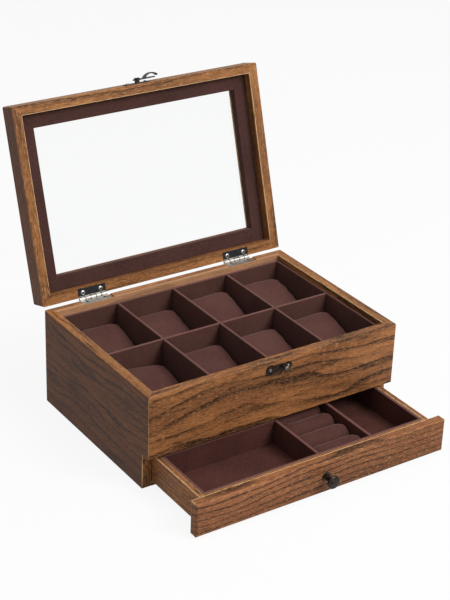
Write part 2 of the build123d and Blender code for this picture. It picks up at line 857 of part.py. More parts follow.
# Drawer linings and dividers
drawer_floor_lining_sheet = block(
    (-drawer_bay_half_width, drawer_bay_front, drawer_bottom_z + drawer_base),
    (drawer_bay_half_width, drawer_bay_back, drawer_floor),
)
drawer_floor_lining_sheet.part.label = "drawer_floor_lining"
export_step(drawer_floor_lining_sheet.part, "parts/drawer_floor_lining.step")

lining_height = drawer_lining_top - drawer_bottom_z - drawer_base
with BuildPart() as drawer_side_linings:
    with BuildSketch(Plane.XY.offset(drawer_bottom_z + drawer_base)):
        for side in (-1, 1):
            with Locations((side * (drawer_bay_half_width + drawer_lining / 2), drawer_bay_middle)):
                Rectangle(drawer_lining, drawer_bay_length)
    extrude(amount=lining_height)
drawer_side_linings.part.label = "drawer_side_linings"
export_step(drawer_side_linings.part, "parts/drawer_side_linings.step")

with BuildPart() as drawer_end_linings:
    with BuildSketch(Plane.XY.offset(drawer_bottom_z + drawer_base)):
        for y in (drawer_bay_front - drawer_lining / 2, drawer_bay_back + drawer_lining / 2):
            with Locations((0, y)):
                Rectangle(2 * drawer_side_inner, drawer_lining)
    extrude(amount=lining_height)
drawer_end_linings.part.label = "drawer_end_linings"
export_step(drawer_end_linings.part, "parts/drawer_end_linings.step")

right_divider_x = drawer_bay_half_width - right_bay_width - drawer_divider / 2
drawer_divider_places = (right_divider_x - middle_bay_width - drawer_divider, right_divider_x)
for number, x in enumerate(drawer_divider_places, start=1):
    divider = block(
        (x - drawer_divider / 2, drawer_bay_front, drawer_floor),
        (x + drawer_divider / 2, drawer_bay_back, drawer_lining_top),
    )
    divider.part.label = f"drawer_divider_{number}"
    export_step(divider.part, f"parts/drawer_divider_{number}.step")

# Ring rolls: rods laid side by side across the middle bay, flattened where they stand
roll_pitch = drawer_bay_length / roll_count
roll_radius = (roll_pitch - roll_gap) / 2
roll_start = drawer_divider_places[0] + drawer_divider / 2 + roll_end_gap
roll_end = drawer_divider_places[1] - drawer_divider / 2 - roll_end_gap
roll_middle = (roll_start + roll_end) / 2
roll_half_length = (roll_end - roll_start) / 2
with BuildPart() as ring_rolls:
    for number in range(roll_count):
        roll_y = drawer_bay_front + (number + 0.5) * roll_pitch
        for share, tightness in soft_stations:
            x = roll_middle + share * roll_half_length
            radius = roll_radius - tightness * roll_seam_draw
            centre = radius - roll_flat
            foot = (radius**2 - centre**2) ** 0.5
            with BuildSketch(Plane(origin=(x, roll_y, drawer_floor), x_dir=(0, 1, 0), z_dir=(1, 0, 0))):
                with BuildLine():
                    Line((-foot, 0), (foot, 0))
                    ThreePointArc((foot, 0), (radius, centre), (0, radius + centre))
                    ThreePointArc((0, radius + centre), (-radius, centre), (-foot, 0))
                make_face()
        loft()
ring_rolls.part.label = "ring_rolls"
export_step(ring_rolls.part, "parts/ring_rolls.step")

# Cross divider that parts the wide bay
cross_divider_y = drawer_bay_front + front_bay_depth
drawer_cross_divider = block(
    (-drawer_bay_half_width, cross_divider_y, drawer_floor),
    (drawer_divider_places[0] - drawer_divider / 2, cross_divider_y + drawer_divider, drawer_lining_top),
)
drawer_cross_divider.part.label = "drawer_cross_divider"
export_step(drawer_cross_divider.part, "parts/drawer_cross_divider.step")

# Knob, drawn in by a screw from inside the drawer
knob_profile = Plane(origin=knob_plane.origin, x_dir=(1, 0, 0), z_dir=(0, 0, -1))
knob_head_start = knob_projection - knob_head_thickness
with BuildPart() as knob:
    with BuildSketch(knob_profile):
        with BuildLine():
            Polyline(
                (0, knob_projection),
                (0, 0),
                (knob_base_radius, 0),
                (knob_base_radius, knob_base_thickness / 2),
                (knob_neck_radius, knob_base_thickness),
            )
            ThreePointArc(
                (knob_neck_radius, knob_base_thickness),
                (0.93 * knob_neck_radius, (knob_base_thickness + knob_head_start) / 2),
                (1.4 * knob_neck_radius, knob_head_start),
            )
            Line((1.4 * knob_neck_radius, knob_head_start), (knob_head_radius, knob_head_start + 1.0))
            ThreePointArc(
                (knob_head_radius, knob_head_start + 1.0),
                (1.03 * knob_head_radius, knob_head_start + 2.0),
                (0.9 * knob_head_radius, knob_projection - 0.8),
            )
            ThreePointArc(
                (0.9 * knob_head_radius, knob_projection - 0.8),
                dome_point(0.9 * knob_head_radius, knob_projection - 0.8, knob_projection),
                (0, knob_projection),
            )
        make_face()
    revolve(axis=Axis(knob_plane.origin, (0, -1, 0)))
    with BuildSketch(knob_plane):
        Circle(knob_screw_radius)
    extrude(amount=knob_screw_grip, mode=Mode.SUBTRACT)
knob.part.label = "drawer_knob"
export_step(knob.part, "parts/drawer_knob.step")

screw_seat = -front_thickness - drawer_end
with BuildPart() as knob_screw:
    with BuildSketch(knob_plane.offset(screw_seat)):
        Circle(knob_screw_head_radius)
    extrude(amount=knob_screw_head_thickness)
    with BuildSketch(knob_plane.offset(screw_seat)):
        Circle(knob_screw_radius)
    extrude(amount=knob_screw_grip - screw_seat)
knob_screw.part.label = "drawer_knob_screw"
export_step(knob_screw.part, "parts/drawer_knob_screw.step")
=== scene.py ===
# %% [markdown]
# A wooden watch box, open, with its drawer pulled out. The frame brings every board, hinge leaf and
# pin at its real size and place, in metres. Blender's work is the finish: grain, velvet, worn
# metal, clear glass, and the padded pieces that no flat solid can stand for.

# %% Load the frame
import json
import math

import bmesh
import bpy
from mathutils import Matrix, Vector, noise

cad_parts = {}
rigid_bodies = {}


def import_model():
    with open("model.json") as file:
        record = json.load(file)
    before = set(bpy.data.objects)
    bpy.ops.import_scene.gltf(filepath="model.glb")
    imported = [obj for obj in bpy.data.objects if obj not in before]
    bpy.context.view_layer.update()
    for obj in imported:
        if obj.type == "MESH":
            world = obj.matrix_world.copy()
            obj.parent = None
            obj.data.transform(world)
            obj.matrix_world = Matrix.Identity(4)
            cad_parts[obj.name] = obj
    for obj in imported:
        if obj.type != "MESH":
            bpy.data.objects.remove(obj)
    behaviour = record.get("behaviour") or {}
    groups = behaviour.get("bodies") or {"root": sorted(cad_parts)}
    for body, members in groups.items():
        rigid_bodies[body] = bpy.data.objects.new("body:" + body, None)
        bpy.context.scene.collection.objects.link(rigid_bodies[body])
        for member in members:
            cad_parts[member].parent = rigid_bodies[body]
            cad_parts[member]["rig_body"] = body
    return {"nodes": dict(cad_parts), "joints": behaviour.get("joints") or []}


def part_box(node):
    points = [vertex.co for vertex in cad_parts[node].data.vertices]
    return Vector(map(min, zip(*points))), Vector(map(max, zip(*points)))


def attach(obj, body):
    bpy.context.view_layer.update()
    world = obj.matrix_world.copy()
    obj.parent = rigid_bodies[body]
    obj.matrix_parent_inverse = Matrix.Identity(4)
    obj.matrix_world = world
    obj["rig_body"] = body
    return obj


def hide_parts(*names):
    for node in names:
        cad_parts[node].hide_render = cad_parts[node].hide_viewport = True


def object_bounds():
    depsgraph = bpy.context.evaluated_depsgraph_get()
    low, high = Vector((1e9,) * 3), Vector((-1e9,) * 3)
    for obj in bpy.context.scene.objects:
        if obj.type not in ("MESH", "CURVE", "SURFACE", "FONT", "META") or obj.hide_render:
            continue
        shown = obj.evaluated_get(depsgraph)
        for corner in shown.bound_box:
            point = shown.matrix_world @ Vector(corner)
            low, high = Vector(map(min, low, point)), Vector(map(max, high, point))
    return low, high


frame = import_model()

cad_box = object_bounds()
nodes = frame["nodes"]
print(len(nodes), "nodes in the frame")

# %% [markdown]
# The photograph looks down on the box from its front left. A camera can be placed by eye, but then
# every part is a little off. Here its place and turn were solved from the corners of the case, the
# lid and the drawer, so they are plain numbers. A sensor of 36 mm on the picture's long side makes
# the lens about 95 mm, a short telephoto.

# %% Camera
camera_place = Vector((-0.782049, -1.146592, 0.826704))
camera_yaw = math.radians(34.459)
camera_pitch = math.radians(26.933)
camera_roll = math.radians(2.053)
sensor_mm = 36.0
focal_pixels = 1588.03
picture_height = 600
far_limit = 20

forward = Vector((
    math.sin(camera_yaw) * math.cos(camera_pitch),
    math.cos(camera_yaw) * math.cos(camera_pitch),
    -math.sin(camera_pitch),
))
level_right = Vector((math.cos(camera_yaw), -math.sin(camera_yaw), 0))
level_up = level_right.cross(forward)
right = math.cos(camera_roll) * level_right + math.sin(camera_roll) * level_up
up = math.cos(camera_roll) * level_up - math.sin(camera_roll) * level_right


def in_scene(name, data):
    """Makes an object of a mesh, a lamp or a lens, and puts it in the scene."""
    made = bpy.data.objects.new(name, data)
    bpy.context.scene.collection.objects.link(made)
    return made


lens = bpy.data.cameras.new("camera")
lens.sensor_width = sensor_mm
lens.lens = focal_pixels * sensor_mm / picture_height
lens.clip_end = far_limit
camera = in_scene("camera", lens)
turn = Matrix((right, up, -forward)).transposed().to_4x4()
camera.matrix_world = Matrix.Translation(camera_place) @ turn
bpy.context.scene.camera = camera
bpy.context.scene.view_settings.view_transform = "Standard"
print("lens", round(lens.lens, 2), "mm")

# %% [markdown]
# Nodes can be added and linked one call at a time, but a long sum is then hard to read. A small
# class wraps one socket, and its operators add the Math nodes, so a line such as (v - heart) ** 2
# builds the network it describes. A second class holds a tree of nodes, for a material or for
# Geometry Nodes, and has a single method for every other kind of node. The short methods after it
# only save typing.


# %% Sums on sockets
class Value:
    """One socket of a node, which can be added, multiplied and raised to a power."""

    def __init__(self, network, socket):
        self.network = network
        self.socket = socket

    def __abs__(self):
        return self.network.math("ABSOLUTE", self)

    def __add__(self, other):
        return self.network.math("ADD", self, other)

    def __radd__(self, other):
        return self.network.math("ADD", other, self)

    def __sub__(self, other):
        return self.network.math("SUBTRACT", self, other)

    def __rsub__(self, other):
        return self.network.math("SUBTRACT", other, self)

    def __mul__(self, other):
        return self.network.math("MULTIPLY", self, other)

    def __rmul__(self, other):
        return self.network.math("MULTIPLY", other, self)

    def __truediv__(self, other):
        return self.network.math("DIVIDE", self, other)

    def __rtruediv__(self, other):
        return self.network.math("DIVIDE", other, self)

    def __pow__(self, other):
        return self.network.math("POWER", self, other)

    def __rpow__(self, other):
        return self.network.math("POWER", other, self)


print("sums ready")


# %% Nodes
class Network:
    """A tree of nodes, made node by node."""

    def __init__(self, tree):
        self.tree = tree
        tree.nodes.clear()

    def node(self, kind, inputs=None, out=0, **settings):
        """Adds one node: its settings first, then the values or links of its sockets.

        out names the output that is wanted, or several, and a list links more than one value."""
        made = self.tree.nodes.new(kind)
        for key, value in settings.items():
            setattr(made, key, value)
        for key, value in (inputs or {}).items():
            socket = made.inputs[key]
            if isinstance(value, (Value, list)):
                for source in value if isinstance(value, list) else [value]:
                    self.tree.links.new(source.socket, socket)
            elif socket.type == "RGBA":
                socket.default_value = (*value[:3], 1)
            else:
                socket.default_value = value
        if not made.outputs:
            return made
        if isinstance(out, tuple):
            return [Value(self, made.outputs[key]) for key in out]
        return Value(self, made.outputs[out])

    def math(self, operation, *parts):
        """A Math node, for the operations that Python has no sign for."""
        return self.node("ShaderNodeMath", dict(enumerate(parts)), operation=operation)

    def split(self, vector):
        """The X, Y and Z of a vector."""
        return self.node("ShaderNodeSeparateXYZ", {0: vector}, out=(0, 1, 2))

    def mix(self, factor, first, second, blend="MIX"):
        """Blends two colours. MULTIPLY darkens the first by the second, for painted shade."""
        return self.node(
            "ShaderNodeMix", {0: factor, 6: first, 7: second}, out=2,
            data_type="RGBA", blend_type=blend, clamp_factor=True,
        )

    def noise(self, vector, scale, detail, roughness):
        return self.node(
            "ShaderNodeTexNoise",
            {"Vector": vector, "Scale": scale, "Detail": detail, "Roughness": roughness},
        )

    def ramp(self, value, low, high):
        """A value stretched so that low becomes 0 and high becomes 1."""
        return self.node(
            "ShaderNodeMapRange",
            {"Value": value, "From Min": low, "From Max": high, "To Min": 0.0, "To Max": 1.0},
            clamp=True,
        )

    def bump(self, height, strength, distance):
        return self.node(
            "ShaderNodeBump", {"Height": height, "Strength": strength, "Distance": distance}
        )

    def seen_rays(self):
        """1 for rays that the camera, a mirror or glass sees by, 0 for rays that light things."""
        straight, mirrored, through = self.node(
            "ShaderNodeLightPath",
            out=("Is Camera Ray", "Is Glossy Ray", "Is Transmission Ray"),
        )
        return self.math("MAXIMUM", self.math("MAXIMUM", straight, mirrored), through)


class Finish(Network):
    """One material."""

    def __init__(self, name):
        self.material = bpy.data.materials.new(name)
        self.material.use_nodes = True
        super().__init__(self.material.node_tree)

    def place(self):
        """Where a point lies on the object, in metres."""
        return self.node("ShaderNodeTexCoord", out="Object")

    def output(self, shader):
        """Ends the material in a shader."""
        self.node("ShaderNodeOutputMaterial", {"Surface": shader})
        return self.material

    def surface(self, inputs):
        """Ends the material in the main shader."""
        return self.output(self.node("ShaderNodeBsdfPrincipled", inputs))


def tone(red, green, blue):
    """A colour as it looks on screen, 0 to 255, turned into the light it stands for."""
    return tuple(
        part / 255 / 12.92 if part <= 10.3 else ((part / 255 + 0.055) / 1.055) ** 2.4
        for part in (red, green, blue)
    )


print("a middle grey is", round(tone(128, 128, 128)[0], 3), "as light")

# %% [markdown]
# Light: the photograph has a broad soft light from the front right and above. The left side and the
# left-facing walls of the compartments fall into shade, and the background is white. Lamps strong
# enough to bleach the floor would bleach the wood too. So two soft lamps and the world light the
# box at a plain level, and the floor and the world show white only to the camera, to mirrors and
# through glass. The floor still takes the box's shadow.

# %% Floor and world
floor_half = 4.0
floor_drop = 0.0002
white_share = 0.9
white = (1, 1, 1)
fill_light = 0.36

floor_mesh = bpy.data.meshes.new("floor")
corners = [(x * floor_half, y * floor_half, -floor_drop)
           for x, y in ((-1, -1), (1, -1), (1, 1), (-1, 1))]
floor_mesh.from_pydata(corners, [], [(0, 1, 2, 3)])
floor = in_scene("floor", floor_mesh)

pale_floor = Finish("pale_floor")
matte = pale_floor.node("ShaderNodeBsdfDiffuse", {"Color": (0.8, 0.8, 0.8)})
glow = pale_floor.node("ShaderNodeEmission", {"Color": white, "Strength": 1.0})
shown = pale_floor.seen_rays() * white_share
floor_mesh.materials.append(
    pale_floor.output(pale_floor.node("ShaderNodeMixShader", {0: shown, 1: matte, 2: glow}))
)

world = bpy.data.worlds.new("studio")
bpy.context.scene.world = world
world.use_nodes = True
air = Network(world.node_tree)
fill = air.node("ShaderNodeBackground", {"Color": (1, 0.99, 0.98), "Strength": fill_light})
backdrop = air.node("ShaderNodeBackground", {"Color": white, "Strength": 1.0})
sky = air.node("ShaderNodeMixShader", {0: air.seen_rays(), 1: fill, 2: backdrop})
air.node("ShaderNodeOutputWorld", {"Surface": sky})
print("floor of", 2 * floor_half, "m, fill light", fill_light)


# %% Lamps
def softbox(name, place, aim, size, power):
    """A square soft lamp that looks at a point."""
    lamp = bpy.data.lights.new(name, "AREA")
    lamp.shape = "SQUARE"
    lamp.size = size
    lamp.energy = power
    box = in_scene(name, lamp)
    box.location = place
    box.rotation_euler = (Vector(aim) - Vector(place)).to_track_quat("-Z", "Y").to_euler()


softbox("key", place=(0.75, -1.5, 1.55), aim=(0, -0.05, 0.12), size=0.9, power=36)
softbox("top", place=(0.1, -0.1, 1.9), aim=(0, 0, 0.1), size=1.0, power=9)
print("two soft lamps")

# %% [markdown]
# Wood: the boards are brown softwood with a scorched, rubbed finish. Growth rings cut the faces as
# dark wavy lines, fine fibres run along each board, and broad patches are greyer or more golden.
# A flat picture of grain would break at every edge. A solid pattern suits wood better, because it
# runs true round the edges: each board has its own heart line, and the distance from it, bent by
# noise, gives the rings. Painted shade darkens the outer faces at left and right. On the flat rim
# at the back, a paler strip and a dark line are painted in place of a step: painted light on its
# lip, painted shade along the step.

# %% Grain of the wood
lid_hinge = next(joint for joint in frame["joints"] if joint["name"] == "lid_hinge")
lid_angle = -math.radians(lid_hinge["range_deg"][0])

# For each grain direction, which axis runs along the board and which two run across it
AXES = {"x": (0, 2, 1), "y": (1, 2, 0), "flat": (0, 1, 2)}

# The layers of noise: how fine each is along and across the board, its detail and its roughness
GRAIN = {
    "bend": (6.0, 17.0, 2.0, 0.5),
    "ripple": (34.0, 120.0, 2.0, 0.5),
    "fibre": (130.0, 950.0, 3.0, 0.65),
    "hair": (90.0, 2300.0, 2.0, 0.6),
    "fleck": (210.0, 1700.0, 2.0, 0.5),
    "patch": (9.0, 30.0, 3.0, 0.55),
    "smoke": (15.0, 130.0, 4.0, 0.68),
    "vigour": (8.0, 45.0, 2.0, 0.5),
}

# From which value to which a layer shows, and how much it colours the wood
patch_span = (0.36, 0.62)
vigour_span = (0.38, 0.58)
smoke_span = (0.52, 0.66)
fibre_span, fibre_weight = (0.48, 0.66), 0.55
hair_span, hair_weight = (0.5, 0.7), 0.4
fleck_span, fleck_weight = (0.54, 0.7), 0.5
wear_and_highlight_span = (0.72, 0.98)

# A ring's phase runs from 0 to 1: the wood darkens in summer, then comes a dark band of late wood
summer_rise, summer_fall, summer_weight = (0.05, 0.75), (0.9, 1.0), 0.35
late_rise, late_fall = (0.6, 0.9), (0.92, 1.0)
case_bend = 0.026
lid_bend = 0.012
ripple_reach = 0.003

pale_fleck = tone(208, 158, 104)
worn_and_highlit_wood = tone(228, 190, 142)
print(len(GRAIN), "layers of grain, lid at", round(math.degrees(lid_angle), 2), "degrees")

# %% Wood finish
outer_x = cad_box[1][0]
# Painted shade: the outer faces at left and right are multiplied by this colour, to this depth
side_shade_depth = 0.0006
painted_side_shade = (0.4, 0.32, 0.31)
# Painted light and shade of a step in the back rim: a paler lip in front, a dark line at the step
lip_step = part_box("back_panel")[1].y - 0.0058
painted_lip_light = tone(208, 162, 124)
lip_light_least, lip_light_patchy = 0.2, 0.4
blur = 0.0001
line_middle, line_edge, line_core, step_shade_weight = 0.0003, 0.0005, 0.0002, 0.75
fibre_depth, late_depth, fleck_height = 0.7, 0.5, 0.4


def wood(name, board, wear_and_highlight=0.0):
    """One board's wood, from its row in the table of boards; wear and painted light pale it."""
    along, heart, spacing, seed, tones, (ring_floor, ring_weight), smoke_weight, on_lid = board
    golden, brown, dark = tones
    finish = Finish(name)
    place = finish.place()
    if on_lid:
        place = finish.node("ShaderNodeMapping", {"Vector": place, "Rotation": (lid_angle, 0, 0)})
    axes = finish.split(place)
    u, v, w = (axes[axis] for axis in AXES[along])

    def grain_space(stretch, across):
        """The board's own space, stretched along its grain and moved by its seed."""
        return finish.node(
            "ShaderNodeCombineXYZ",
            {0: u * stretch + seed, 1: v * across + 0.7 * seed, 2: w * across - 0.3 * seed},
        )

    bend, ripple, fibre, hair, fleck, patch, smoke, vigour = (
        finish.noise(grain_space(stretch, across), 1.0, detail, roughness)
        for stretch, across, detail, roughness in GRAIN.values()
    )

    from_heart = ((v - heart[0]) ** 2.0 + (w - heart[1]) ** 2.0) ** 0.5
    bent = from_heart + (bend - 0.5) * (lid_bend if on_lid else case_bend)
    phase = finish.math("FRACT", (bent + (ripple - 0.5) * ripple_reach) / spacing)
    summer = finish.ramp(phase, *summer_rise) ** 2.0 * (1 - finish.ramp(phase, *summer_fall))
    late = finish.ramp(phase, *late_rise) * (1 - finish.ramp(phase, *late_fall))
    ring = ring_floor + (ring_weight - ring_floor) * finish.ramp(vigour, *vigour_span)

    colour = finish.mix(finish.ramp(patch, *patch_span), golden, brown)
    colour = finish.mix(summer * summer_weight, colour, brown)
    colour = finish.mix(late * ring, colour, dark)
    colour = finish.mix(finish.ramp(smoke, *smoke_span) * smoke_weight, colour, dark)
    colour = finish.mix(finish.ramp(fibre, *fibre_span) * fibre_weight, colour, dark)
    colour = finish.mix(finish.ramp(hair, *hair_span) * hair_weight, colour, dark)
    colour = finish.mix(finish.ramp(fleck, *fleck_span) * fleck_weight, colour, pale_fleck)
    # Paler edges: wear, and a painted highlight along the rounded edges
    if wear_and_highlight:
        colour = finish.mix(wear_and_highlight * finish.ramp(fibre + fleck, *wear_and_highlight_span), colour, worn_and_highlit_wood)
    # The back rim: a painted lit lip and a painted shade line in place of a step
    if name.startswith("back_panel"):
        behind_step = axes[1] - lip_step
        lit_lip = finish.ramp(behind_step, blur, -blur)
        colour = finish.mix(lit_lip * (lip_light_least + lip_light_patchy * patch), colour, painted_lip_light)
        shade_line = finish.ramp(abs(behind_step - line_middle), line_edge, line_core)
        colour = finish.mix(shade_line * step_shade_weight, colour, dark)
    # Painted shade on the outer faces at left and right
    if not name.startswith(("drawer", "front")):
        side_shade_mask = finish.ramp(abs(axes[0]), outer_x - side_shade_depth, outer_x - 0.2 * side_shade_depth)
        colour = finish.mix(side_shade_mask, colour, painted_side_shade, "MULTIPLY")

    height = fibre * -fibre_depth - late * late_depth + fleck * fleck_height
    return finish.surface({
        "Base Color": colour,
        "Roughness": 0.44 + 0.22 * fibre,
        "Specular IOR Level": 0.16,
        "Normal": finish.bump(height, strength=0.5, distance=0.0004),
    })


# The outer faces at left and right carry painted shade, this deep
print("outer faces stained", round(side_shade_depth * 1000, 2), "mm deep")

# %% Table of boards
# Three tones each: golden, brown and dark
FRONT_TONES = (tone(172, 113, 67), tone(124, 77, 45), tone(32, 17, 11))
SIDE_TONES = (tone(112, 64, 42), tone(84, 47, 32), tone(28, 14, 10))
EDGE_TONES = (tone(172, 115, 66), tone(130, 83, 46), tone(44, 24, 14))
RIM_TONES = (tone(190, 136, 96), tone(152, 100, 66), tone(58, 32, 20))
DRAWER_TONES = (tone(154, 98, 62), tone(124, 76, 47), tone(38, 18, 11))

# Each board: grain direction, heart of its rings on the cross section, ring spacing, seed, tones,
# how dark the rings are at least and at most, how dark the scorched streaks are, and if it is on
# the lid
BOARDS = {
    "front_board": ("x", (-0.05, -0.3), 0.0078, 3.1, FRONT_TONES, (0.2, 1.0), 0.95, False),
    "back_panel": ("x", (0.03, 0.2), 0.0070, 8.4, RIM_TONES, (0.15, 0.8), 0.8, False),
    "left_side_panel": ("y", (-0.03, -0.24), 0.0056, 5.2, EDGE_TONES, (0.2, 0.9), 0.9, False),
    "right_side_panel": ("y", (0.16, 0.24), 0.0062, 6.7, EDGE_TONES, (0.1, 0.9), 0.9, False),
    "base_board": ("flat", (0.0, -0.05), 0.0070, 1.9, SIDE_TONES, (0.1, 0.5), 0.5, False),
    "tray_floor": ("flat", (0.0, -0.05), 0.0070, 2.3, SIDE_TONES, (0.1, 0.5), 0.5, False),
    "drawer_front": ("x", (-0.2, -0.24), 0.0066, 7.7, DRAWER_TONES, (0.6, 1.0), 0.35, False),
    "drawer_inner_front": ("x", (-0.1, -0.14), 0.0050, 4.2, EDGE_TONES, (0.1, 0.5), 0.5, False),
    "drawer_back": ("x", (-0.1, 0.04), 0.0050, 4.9, EDGE_TONES, (0.1, 0.5), 0.5, False),
    "drawer_left_side": ("y", (-0.08, -0.15), 0.0040, 9.3, FRONT_TONES, (0.3, 0.8), 0.5, False),
    "drawer_right_side": ("y", (-0.08, 0.15), 0.0040, 9.9, FRONT_TONES, (0.3, 0.8), 0.5, False),
    "drawer_bottom": ("flat", (0.0, -0.05), 0.0070, 2.9, SIDE_TONES, (0.1, 0.5), 0.5, False),
    "lid_front_rail": ("x", (0.3, -0.2), 0.0052, 11.3, EDGE_TONES, (0.25, 0.8), 0.5, True),
    "lid_back_rail": ("x", (0.3, 0.0), 0.0052, 12.8, EDGE_TONES, (0.25, 0.8), 0.5, True),
    "lid_left_rail": ("y", (0.3, -0.2), 0.0052, 13.6, EDGE_TONES, (0.25, 0.8), 0.5, True),
    "lid_right_rail": ("y", (0.3, 0.2), 0.0052, 14.2, EDGE_TONES, (0.25, 0.8), 0.5, True),
}
print(len(BOARDS), "boards in the table")

# %% [markdown]
# Planed boards are never razor sharp: a cabinet maker takes the edges off with sandpaper, and the
# stain rubs thin there. A Bevel node in the material would only shade the edge as if it were round,
# so the shape itself is rounded. Each board is copied from its node, its loose triangles are joined
# and melted back into flat faces, and a Bevel modifier rounds the long edges, which are given a
# weight. Short ones, round a screw hole or a mortise, stay as cut, and so do the mitres, which are
# glued tight. The overlap clamp is off, because the small edges would hold the long ones to almost
# nothing. Only the two boards with hinge mortises keep it, because their edges are cut through. The
# modifier gives the new narrow faces a second material, the same grain paler: wear, and a painted
# highlight along the edges.

# %% Copies of nodes
same_point = 1e-6
same_plane = math.radians(0.5)
sharp_turn = math.radians(40)
long_edge = 0.007
least_mitre, most_mitre = 0.3, 0.95


def copy_of(node, name):
    """A node's mesh as one joined piece, with its flat faces whole and its edges weighted."""
    mesh = nodes[node].data.copy()
    mesh.name = name
    work = bmesh.new()
    work.from_mesh(mesh)
    bmesh.ops.remove_doubles(work, verts=work.verts, dist=same_point)
    bmesh.ops.dissolve_limit(work, angle_limit=same_plane, verts=work.verts, edges=work.edges)
    for face in work.faces:
        face.material_index = 0
    weight = work.edges.layers.float.new("bevel_weight_edge")
    for edge in work.edges:
        length = edge.calc_length()
        sharp = len(edge.link_faces) == 2 and edge.calc_face_angle(0) > sharp_turn
        slant = abs(edge.verts[0].co.x - edge.verts[1].co.x) / length
        mitre = least_mitre < slant < most_mitre
        edge[weight] = 1.0 if sharp and length > long_edge and not mitre else 0.0
    work.to_mesh(mesh)
    work.free()
    mesh.materials.clear()
    return in_scene(name, mesh)


def plain_mesh(piece):
    """Applies a piece's modifiers and leaves a plain mesh."""
    graph = bpy.context.evaluated_depsgraph_get()
    made = bpy.data.meshes.new_from_object(piece.evaluated_get(graph))
    piece.modifiers.clear()
    old = piece.data
    piece.data = made
    made.name = piece.name
    bpy.data.meshes.remove(old)
    return piece


def stand_for(piece, node):
    """Lets a piece take a node's place on the node's own body."""
    body = nodes[node]["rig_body"]
    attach(piece, body)
    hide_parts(node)


print("edges longer than", long_edge * 1000, "mm will be rounded")

# %% Boards with eased edges
MORTISED = ("lid_back_rail", "back_panel")
board_ease = 0.0008
lid_ease = 0.001
# How pale the rounded edges are: wear, and a painted highlight
edge_wear_and_highlight = 0.85


def eased(node, name, width, segments, materials):
    """A copy of a node with rounded edges; the last material is the rounding's own."""
    piece = copy_of(node, name)
    for material in materials:
        piece.data.materials.append(material)
    rounding = piece.modifiers.new("rounding", "BEVEL")
    rounding.width = width
    rounding.segments = segments
    rounding.limit_method = "WEIGHT"
    rounding.material = len(materials) - 1
    rounding.use_clamp_overlap = node in MORTISED
    rounding.harden_normals = False
    plain_mesh(piece)
    for polygon in piece.data.polygons:
        polygon.use_smooth = False
    return piece


for node, board in BOARDS.items():
    grain = wood(f"{node}_wood", board)
    worn_and_highlit = wood(f"{node}_worn_highlit_edge", board, wear_and_highlight=edge_wear_and_highlight)
    width = lid_ease if board[-1] else board_ease
    planed = eased(node, f"planed_{node}", width, segments=2, materials=(grain, worn_and_highlit))
    stand_for(planed, node)
    narrow = sum(polygon.area for polygon in planed.data.polygons if polygon.material_index)
    print(planed.name, len(planed.data.polygons), "faces,", round(narrow * 1e6), "mm2 rounded")

# %% [markdown]
# Velvet: the linings are thin boards wrapped in short-pile brown velvet, so their edges are soft
# and round. Hairs could make the pile, but at this distance they are finer than a pixel. Velvet
# looks darkest face on and pale where the pile is seen from the side, and the shader's sheen gives
# that. A fine noise stands for the pile, a middle one for its nap and a broad one for brushed
# patches. Painted light makes the tops of the walls and dividers paler.

# %% Velvet finish
# The layers of noise: how fine each is, its detail and its roughness
PILE = {"pile": (1900.0, 2.0, 0.6), "nap": (420.0, 3.0, 0.6), "patch": (22.0, 3.0, 0.5)}
brushed_span = (0.3, 0.7)
nap_span, nap_weight = (0.45, 0.8), 0.18
pile_span, pile_weight = (0.5, 0.8), 0.35
# Painted light on the panels' tops: where it starts and ends below the top, and how strong it is
top_light_start, top_light_end, top_light_weight = 0.0009, 0.0003, 0.4
lint = tone(128, 92, 86)
deep_pile = tone(30, 16, 14)
painted_top_light = tone(138, 100, 92)


def velvet(name, colour, brushed, seed, sheen, top=None):
    """Short pile; where the panels' tops lie at one height, painted light pales them there."""
    finish = Finish(name)
    place = finish.place()
    moved = finish.node("ShaderNodeMapping", {"Vector": place, "Location": (seed, 2 * seed, 0)})
    pile, nap, patch = (finish.noise(moved, *layer) for layer in PILE.values())
    shade = finish.mix(finish.ramp(patch, *brushed_span), colour, brushed)
    shade = finish.mix(finish.ramp(nap, *nap_span) * nap_weight, shade, lint)
    shade = finish.mix(finish.ramp(pile, *pile_span) * pile_weight, shade, deep_pile)
    # Painted light on the panels' tops
    if top:
        height = finish.split(place)[2]
        top_light_mask = finish.ramp(height, top - top_light_start, top - top_light_end)
        shade = finish.mix(top_light_mask * top_light_weight, shade, painted_top_light)
    return finish.surface({
        "Base Color": shade,
        "Roughness": 0.9,
        "Specular IOR Level": 0.1,
        "Sheen Weight": sheen,
        "Sheen Roughness": 0.35,
        "Sheen Tint": (0.75, 0.5, 0.46),
        "Normal": finish.bump(pile * 0.7 + nap * 0.5, strength=0.5, distance=0.0004),
    })


tray_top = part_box("long_divider")[1].z
drawer_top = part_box("drawer_divider_1")[1].z

# Each velvet: its colour, its colour where it is brushed, its seed, its sheen, and where painted
# light pales its panels' tops
VELVETS = {
    "lining_velvet": (tone(92, 61, 54), tone(78, 51, 45), 0.3, 0.35, tray_top),
    "drawer_velvet": (tone(84, 49, 43), tone(69, 39, 34), 0.5, 0.3, drawer_top),
    "trim_velvet": (tone(76, 50, 46), tone(64, 42, 38), 0.8, 0.25),
    "pillow_velvet": (tone(94, 62, 57), tone(80, 51, 47), 1.4, 0.35),
    # The rolls: the pillows' velvet painted darker, as painted shade
    "roll_velvet": (tone(86, 55, 50), tone(70, 43, 39), 1.9, 0.3),
    "seam_thread": (tone(120, 84, 79), tone(106, 72, 68), 2.2, 0.3),
}
velvets = {name: velvet(name, *row) for name, row in VELVETS.items()}
# The heights at which painted light pales the panels' tops
print(len(velvets), "velvets, rubbed at", round(tray_top, 4), "and", round(drawer_top, 4), "m")

